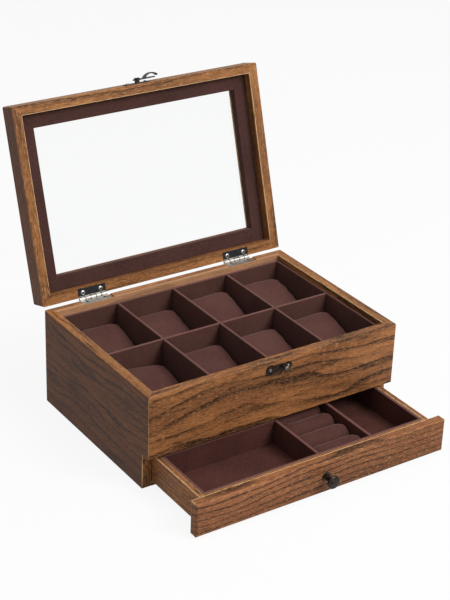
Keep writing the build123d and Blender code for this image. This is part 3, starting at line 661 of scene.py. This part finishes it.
# %% Velvet panels
PANELS = [
    "front_tray_lining", "back_tray_lining", "left_tray_lining", "right_tray_lining",
    "tray_floor_lining", "long_divider", "cross_divider_1", "cross_divider_2", "cross_divider_3",
    "drawer_floor_lining", "drawer_side_linings", "drawer_end_linings",
    "drawer_divider_1", "drawer_divider_2", "drawer_cross_divider", "lid_trim",
]
wrap_round = 0.0007
for node in PANELS:
    cloth = "trim_velvet" if node == "lid_trim" else "lining_velvet"
    if node.startswith("drawer"):
        cloth = "drawer_velvet"
    panel = eased(node, f"wrapped_{node}", wrap_round, segments=3, materials=(velvets[cloth],))
    stand_for(panel, node)
print(len(PANELS), "velvet panels")

# %% [markdown]
# Eight loose pillows lie in the compartments, one for each watch. A real one is a foam block in a
# velvet sleeve with a flat panel sewn in at each end. Its crown could be sculpted by hand, but
# cloth simulation gives it to all the pillows at once: a slightly small copy of the solid is
# remeshed into even squares and blown up a little, so that the sleeve crowns between its seams.
# The seven ring rolls in the drawer are slimmer sleeves of the same kind. They are one node, so
# each roll is cut out of its own copy of it.

# %% Starting shapes of the pillows
pillow_voxel = 0.003
start_scale = 0.965


def remeshed(piece, middle, voxel):
    """Makes a piece slightly small and evenly meshed, ready to be blown up."""
    for vertex in piece.data.vertices:
        vertex.co = middle + (vertex.co - middle) * start_scale
    remesh = piece.modifiers.new("even_squares", "REMESH")
    remesh.mode = "VOXEL"
    remesh.voxel_size = voxel
    return plain_mesh(piece)


# For each pillow, in millimetres: how much higher than the solid it stands, how far its right end
# drops, how far its back drops, and the seed of its lumps
PILLOWS = {
    "watch_pillow_1": (4.0, 0.5, -0.5, 1),
    "watch_pillow_2": (2.4, 0.3, -0.3, 2),
    "watch_pillow_3": (5.6, -1.0, -0.4, 3),
    "watch_pillow_4": (6.0, 0.5, -0.5, 4),
    "watch_pillow_5": (6.0, 7.5, 0.6, 5),
    "watch_pillow_6": (2.0, -0.5, -0.5, 6),
    "watch_pillow_7": (2.4, -0.9, 0.0, 7),
    "watch_pillow_8": (4.0, -1.8, 0.0, 8),
}
pads = {}
for node, (_, _, _, seed) in PILLOWS.items():
    low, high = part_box(node)
    pad = remeshed(copy_of(node, f"stuffed_{node[6:]}"), (low + high) / 2, pillow_voxel)
    pads[pad.name] = (pad, node, low, high, seed)
print(len(pads), "pillows of", sum(len(pad[0].data.vertices) for pad in pads.values()), "points")

# %% Starting shapes of the ring rolls
roll_voxel = 0.002
roll_count = 7
roll_pitch = 0.023
first_roll_seed = 20

roll_low, roll_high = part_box("ring_rolls")
roll_half = (roll_high.y - roll_low.y - (roll_count - 1) * roll_pitch) / 2
for number in range(roll_count):
    centre = roll_low.y + roll_half + number * roll_pitch
    pad = copy_of("ring_rolls", f"ring_roll_{number + 1}")
    work = bmesh.new()
    work.from_mesh(pad.data)
    others = [vertex for vertex in work.verts if abs(vertex.co.y - centre) > roll_pitch / 2]
    bmesh.ops.delete(work, geom=others, context="VERTS")
    work.to_mesh(pad.data)
    work.free()
    low = Vector((roll_low.x, centre - roll_half, roll_low.z))
    high = Vector((roll_high.x, centre + roll_half, roll_high.z))
    remeshed(pad, (low + high) / 2, roll_voxel)
    pads[pad.name] = (pad, "ring_rolls", low, high, first_roll_seed + number)
print(roll_count, "rolls", round(roll_half * 2000, 1), "mm wide")

# %% [markdown]
# All the pads are blown up in one run of twenty frames, which is quicker than one run each. A point
# may then have moved only a set distance, and stays above the floor that the pad lies on. Small
# lumps and a drawn-in line at each end seam follow, and each pillow settles at its own height.

# %% Blow up the pads
stuffing_pressure = 4.0
stuffing_quality = 4
last_frame = 20

starts = {name: [vertex.co.copy() for vertex in pad[0].data.vertices] for name, pad in pads.items()}
for pad, *_ in pads.values():
    stuffing = pad.modifiers.new("stuffing", "CLOTH")
    stuffing.settings.use_pressure = True
    stuffing.settings.uniform_pressure_force = stuffing_pressure
    stuffing.settings.effector_weights.gravity = 0
    stuffing.settings.quality = stuffing_quality
    stuffing.point_cache.frame_start = 1
    stuffing.point_cache.frame_end = last_frame
for frame_number in range(1, last_frame + 1):
    bpy.context.scene.frame_set(frame_number)
for pad, *_ in pads.values():
    plain_mesh(pad)
bpy.context.scene.frame_set(1)
print("pads blown up")

# %% Settle the pads
most_swell = {"pillow": 0.0026, "roll": 0.0012}
seam_inset = {"pillow": 0.0045, "roll": 0.003}
side_room = 0.0006
lump_fineness, lump_height = 42, 0.0007
crease_fineness, crease_height = 130, 0.00025
seam_reach, seam_depth = 0.0022, 0.0005


def share_between(value, low, high):
    """How far a value lies from low to high, from 0 to 1."""
    return min(max((value - low) / (high - low), 0.0), 1.0)


for name, (pad, node, low, high, seed) in pads.items():
    kind = "roll" if node == "ring_rolls" else "pillow"
    middle = (low + high) / 2
    for vertex, start in zip(pad.data.vertices, starts[name]):
        swell = vertex.co - start
        if swell.length > most_swell[kind]:
            swell = swell * (most_swell[kind] / swell.length)
        place = start + swell
        lump = noise.noise(Vector((seed * 3.1, seed * 1.7, 0)) + place * lump_fineness)
        crease = noise.noise(Vector((seed * 2.3, 0, seed)) + place * crease_fineness)
        outward = (place - middle).normalized()
        place = place + outward * (lump_height * lump + crease_height * crease)
        from_end = (high.x - low.x) / 2 - abs(place.x - middle.x)
        draw = 1 - share_between(abs(from_end - seam_inset[kind]), 0.0, seam_reach)
        place = place - Vector((0, outward.y, outward.z)) * seam_depth * draw
        for axis in (0, 1):
            place[axis] = min(max(place[axis], low[axis] - side_room), high[axis] + side_room)
        place.z = max(place.z, low.z)
        if kind == "pillow":
            rise, right_drop, back_drop, _ = PILLOWS[node]
            level = share_between(place.z, low.z, high.z)
            across = (place.x - middle.x) / (high.x - low.x) + 0.5
            deep = (place.y - middle.y) / (high.y - low.y) + 0.5
            place.z += (rise - right_drop * across - back_drop * deep) / 1000 * level
        vertex.co = place
tops = [max(vertex.co.z for vertex in pad[0].data.vertices) for pad in pads.values()]
print("highest pad top at", round(max(tops), 4), "m")

# %% [markdown]
# The cover: the stuffed shape is still made of squares of 2 or 3 mm, which would show as facets in
# a low light. One level of Subdivision Surface halves them and smooths the crown. More levels would
# cost four times the faces each and show nothing new. Then the pad takes its velvet and the place
# of its solid.

# %% Cover the pads
for pad, node, *_ in pads.values():
    smooth = pad.modifiers.new("finer", "SUBSURF")
    smooth.levels = 1
    smooth.render_levels = 1
    plain_mesh(pad)
    pad.data.materials.append(
        velvets["roll_velvet" if node == "ring_rolls" else "pillow_velvet"]
    )
    for polygon in pad.data.polygons:
        polygon.use_smooth = True
    stand_for(pad, node)
    0.85 if node == "ring_rolls" else 0.75
print("largest pad", max(len(pad[0].data.polygons) for pad in pads.values()), "faces")

# %% [markdown]
# Seams: each end panel is joined to its sleeve by a raised seam with small stitches. Every pad came
# out of the simulation a little different, so a seam drawn by hand would miss its surface.
# Geometry Nodes find it on the stuffed shape: the edges between the faces inside and outside a cut
# plane become a curve, which is smoothed, laid back on the surface, and swept with a thin round
# profile. A stitch is then placed every few millimetres along it, turned to the curve's direction.

# %% Seam network
curve_step = 0.0012
smoothing_rounds = 12
cord_sides = 6
bead_sides, bead_rings = 6, 4
stitch_swell = 1.3


def seam_network():
    """Builds the tree; its inputs are sizes in metres."""
    tree = bpy.data.node_groups.new("end_seams", "GeometryNodeTree")
    kinds = {"Geometry": "NodeSocketGeometry"}
    for label in ("Middle", "Half Span", "Cord Radius", "Stitch Pitch", "Stitch Length", "Lift"):
        kinds[label] = "NodeSocketFloat"
    kinds["Thread"] = "NodeSocketMaterial"
    for label, kind in kinds.items():
        tree.interface.new_socket(name=label, in_out="INPUT", socket_type=kind)
    tree.interface.new_socket(name="Geometry", in_out="OUTPUT", socket_type="NodeSocketGeometry")
    net = Network(tree)
    pad_shape, middle, half_span, cord_radius, stitch_pitch, stitch_length, lift, thread = (
        net.node("NodeGroupInput", out=tuple(kinds))
    )

    # The edges with one face inside the span and one outside it
    here = net.node("GeometryNodeInputPosition")
    x, y, z = net.split(here)
    beyond = net.math("GREATER_THAN", abs(x - middle), half_span)
    on_face = net.node("GeometryNodeFieldOnDomain", {0: beyond}, data_type="FLOAT", domain="FACE")
    edge = net.node(
        "FunctionNodeCompare", {0: abs(on_face - 0.5), 1: 0.25},
        data_type="FLOAT", operation="LESS_THAN",
    )
    loop = net.node("GeometryNodeMeshToCurve", {0: pad_shape, 1: edge})

    # Smoothed, moved onto the cut plane, and laid on the surface
    even = net.node(
        "GeometryNodeResampleCurve", {"Curve": loop, "Length": curve_step}, mode="LENGTH"
    )
    blurred = net.node(
        "GeometryNodeBlurAttribute", {"Value": here, "Iterations": smoothing_rounds},
        data_type="FLOAT_VECTOR",
    )
    smooth = net.node("GeometryNodeSetPosition", {"Geometry": even, "Position": blurred})
    side = net.math("SIGN", x - middle)
    flat = net.node("ShaderNodeCombineXYZ", {0: middle + side * half_span, 1: y, 2: z})
    planar = net.node("GeometryNodeSetPosition", {"Geometry": smooth, "Position": flat})
    near = net.node("GeometryNodeProximity", {0: pad_shape}, target_element="FACES")
    outward = net.node(
        "GeometryNodeSampleNearestSurface",
        {"Mesh": pad_shape, "Value": net.node("GeometryNodeInputNormal")},
        data_type="FLOAT_VECTOR",
    )
    lifted = net.node("ShaderNodeVectorMath", {0: outward, 3: lift}, operation="SCALE")
    above = net.node("ShaderNodeVectorMath", {0: near, 1: lifted}, operation="ADD")
    laid = net.node("GeometryNodeSetPosition", {"Geometry": planar, "Position": above})

    # The cord, and the stitches on it
    profile = net.node(
        "GeometryNodeCurvePrimitiveCircle", {"Resolution": cord_sides, "Radius": cord_radius}
    )
    cord = net.node("GeometryNodeCurveToMesh", {"Curve": laid, "Profile Curve": profile})
    spaced = net.node(
        "GeometryNodeResampleCurve", {"Curve": laid, "Length": stitch_pitch}, mode="LENGTH"
    )
    bead = net.node(
        "GeometryNodeMeshUVSphere", {"Segments": bead_sides, "Rings": bead_rings, "Radius": 1.0}
    )
    thickness = cord_radius * stitch_swell
    stretch = net.node(
        "ShaderNodeCombineXYZ", {0: stitch_length * 0.5, 1: thickness, 2: thickness}
    )
    stitch = net.node("GeometryNodeTransform", {"Geometry": bead, "Scale": stretch})
    turned = net.node(
        "FunctionNodeAlignEulerToVector", {"Vector": net.node("GeometryNodeInputTangent")},
        axis="X",
    )
    rows = net.node(
        "GeometryNodeInstanceOnPoints", {"Points": spaced, "Instance": stitch, "Rotation": turned}
    )
    real = net.node("GeometryNodeRealizeInstances", {"Geometry": rows})
    joined = net.node("GeometryNodeJoinGeometry", {0: [real, cord]})
    done = net.node("GeometryNodeSetMaterial", {"Geometry": joined, "Material": thread})
    net.node("NodeGroupOutput", {0: done})
    return tree


end_seams = seam_network()
print("seam network of", len(end_seams.nodes), "nodes")

# %% Seams on the pads
SEAM_SIZES = {
    "pillow": {
        "Cord Radius": 0.00032, "Stitch Pitch": 0.0026, "Stitch Length": 0.0017, "Lift": 0.0001,
    },
    "roll": {
        "Cord Radius": 0.00024, "Stitch Pitch": 0.0022, "Stitch Length": 0.0014, "Lift": 0.00005,
    },
}


def sewn(name, sources, body, kind, low, high):
    """Runs the seam network on one or more pads of a body, and leaves a plain mesh."""
    work = bmesh.new()
    for source in sources:
        work.from_mesh(source.data)
    mesh = bpy.data.meshes.new(name)
    work.to_mesh(mesh)
    work.free()
    piece = in_scene(name, mesh)
    seams = piece.modifiers.new("seams", "NODES")
    seams.node_group = end_seams
    sizes = {
        "Middle": (low.x + high.x) / 2, "Half Span": (high.x - low.x) / 2 - seam_inset[kind],
        "Thread": velvets["seam_thread"], **SEAM_SIZES[kind],
    }
    for item in end_seams.interface.items_tree:
        if item.in_out == "INPUT" and item.name in sizes:
            seams[item.identifier] = sizes[item.name]
    plain_mesh(piece)
    for polygon in piece.data.polygons:
        polygon.use_smooth = True
    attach(piece, body)
    print(name, len(piece.data.vertices), "points")


for number, node in enumerate(PILLOWS, 1):
    pad, _, low, high, _ = pads[f"stuffed_{node[6:]}"]
    sewn(f"pillow_seams_{number}", [pad], nodes[node]["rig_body"], "pillow", low, high)
rolls = [pads[f"ring_roll_{number + 1}"][0] for number in range(roll_count)]
sewn("ring_roll_seams", rolls, "drawer", "roll", roll_low, roll_high)

# %% [markdown]
# Metal: the hinges are nickel, with their upper leaves painted dark as shade. The latch, catch and
# knob are dark antique bronze, with the stud and the nails worn pale. Their shapes come from the
# frame as they are, so only the finish is made here. One leaf needs several colours. It could be
# cut into pieces, but the distance from the hinge pin does it in the material: the knuckles stay
# bright, painted shade darkens the joints between them, and painted shade marks a recess in each
# screw.

# %% Metal finish
pin_y = 0.1009
pin_z = 0.1031
knuckle_reach, knuckle_blur = 0.0026, 0.0003
knuckle_count = 5
hinge_x = 0.0868
half_screw_pitch = 0.0101
screw_reach = 0.0062
recess_radius = 0.0012
joint_half, joint_blur = 0.00032, 0.0002
leaf_low, leaf_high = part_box("left_hinge_lower_leaf")
knuckle_pitch = (leaf_high.x - leaf_low.x) / knuckle_count


def metal(name, colour, clouded, roughness, seed, knuckle=None, joints=None, recess=None):
    """Cloudy, gritty metal, other colours on knuckles, painted shade between them and in screws."""
    finish = Finish(name)
    place = finish.place()
    moved = finish.node("ShaderNodeMapping", {"Vector": place, "Location": (seed, seed, seed)})
    cloud = finish.noise(moved, scale=260.0, detail=4.0, roughness=0.6)
    grit = finish.noise(moved, scale=2200.0, detail=2.0, roughness=0.6)
    shade = finish.mix(finish.ramp(cloud, 0.4, 0.7), colour, clouded)
    if knuckle or joints or recess:
        x, y, z = finish.split(place)
        along = abs(abs(x) - hinge_x)
        away = ((y - pin_y) ** 2.0 + (z - pin_z) ** 2.0) ** 0.5
        close = finish.ramp(away, knuckle_reach + knuckle_blur, knuckle_reach)
    if knuckle:
        shade = finish.mix(close, shade, knuckle)
    # Painted shade in the gaps between knuckles
    if joints:
        from_joint = abs(abs(along - knuckle_pitch) - 0.5 * knuckle_pitch)
        shade_line = finish.ramp(from_joint, joint_half + joint_blur, joint_half)
        shade = finish.mix(shade_line * close, shade, joints)
    # Painted shade in each screw's recess
    if recess:
        from_screw = ((along - half_screw_pitch) ** 2.0 + (away - screw_reach) ** 2.0) ** 0.5
        dip = finish.ramp(from_screw, recess_radius, 0.6 * recess_radius)
        shade = finish.mix(dip, shade, recess)
    return finish.surface({
        "Base Color": shade,
        "Metallic": 1.0,
        "Roughness": roughness + 0.25 * cloud,
        "Normal": finish.bump(grit, strength=0.15, distance=0.0001),
    })


# Painted shade for the gaps between knuckles and for the screw recesses
crevice_shade = tone(38, 34, 31)
nickel = metal(
    "nickel", tone(194, 190, 184), tone(146, 142, 136), roughness=0.28, seed=0.2, joints=crevice_shade
)
# Upper leaves: nickel painted dark as shade, with bright knuckles
shaded_leaf = metal(
    "blackened_steel", tone(50, 50, 52), tone(34, 34, 37), roughness=0.34, seed=0.5,
    knuckle=tone(176, 172, 166), joints=crevice_shade,
)
bronze = metal(
    "antique_bronze", tone(46, 40, 37), tone(72, 64, 58), roughness=0.26, seed=0.9
)
screw_nickel = metal(
    "screw_nickel", tone(168, 164, 157), tone(120, 116, 110), roughness=0.24, seed=1.7,
    recess=crevice_shade,
)
pale_bronze = metal(
    "rubbed_bronze", tone(132, 124, 116), tone(84, 78, 72), roughness=0.24, seed=1.3
)
print("knuckles", round(knuckle_pitch * 1000, 2), "mm wide")

# %% [markdown]
# Glass: the window is a thin clear sheet. A refracting shader would throw a dark shadow on the tray
# under the shut lid, so a mirror coat is laid over a see-through one instead, mixed by the angle at
# which the sheet is seen. Faint smears vary the mirror, as fingers leave them.

# %% Glass finish
mirror_share = 0.22
smear_share = 0.12

clear_glass = Finish("clear_glass")
clear = clear_glass.node("ShaderNodeBsdfTransparent", {"Color": (0.985, 0.99, 0.988)})
mirror = clear_glass.node("ShaderNodeBsdfGlossy", {"Color": white, "Roughness": 0.02})
rim = clear_glass.node("ShaderNodeFresnel", {"IOR": 1.45})
smear = clear_glass.noise(clear_glass.place(), scale=30.0, detail=2.0, roughness=0.5)
coat = rim * (mirror_share + smear_share * smear)
pane = clear_glass.output(
    clear_glass.node("ShaderNodeMixShader", {0: coat, 1: clear, 2: mirror})
)
print("glass mirror share", mirror_share, "to", mirror_share + smear_share)

# %% Metal and glass on their nodes
METALS = {
    "left_hinge_lower_leaf": nickel, "right_hinge_lower_leaf": nickel, "hinge_pins": nickel,
    "left_hinge_upper_leaf": shaded_leaf, "right_hinge_upper_leaf": shaded_leaf,
    "catch_plate": bronze, "catch_stud": pale_bronze, "catch_nails": pale_bronze,
    "latch_plate": bronze, "latch_nails": pale_bronze, "latch_rivet": bronze,
    "latch_hook": bronze, "drawer_knob": bronze, "drawer_knob_screw": nickel,
    "lower_hinge_screws": screw_nickel, "upper_hinge_screws": screw_nickel,
    "glass_pane": pane,
}
for node, material in METALS.items():
    mesh = nodes[node].data
    mesh.materials.clear()
    mesh.materials.append(material)
print(len(METALS), "metal and glass nodes")
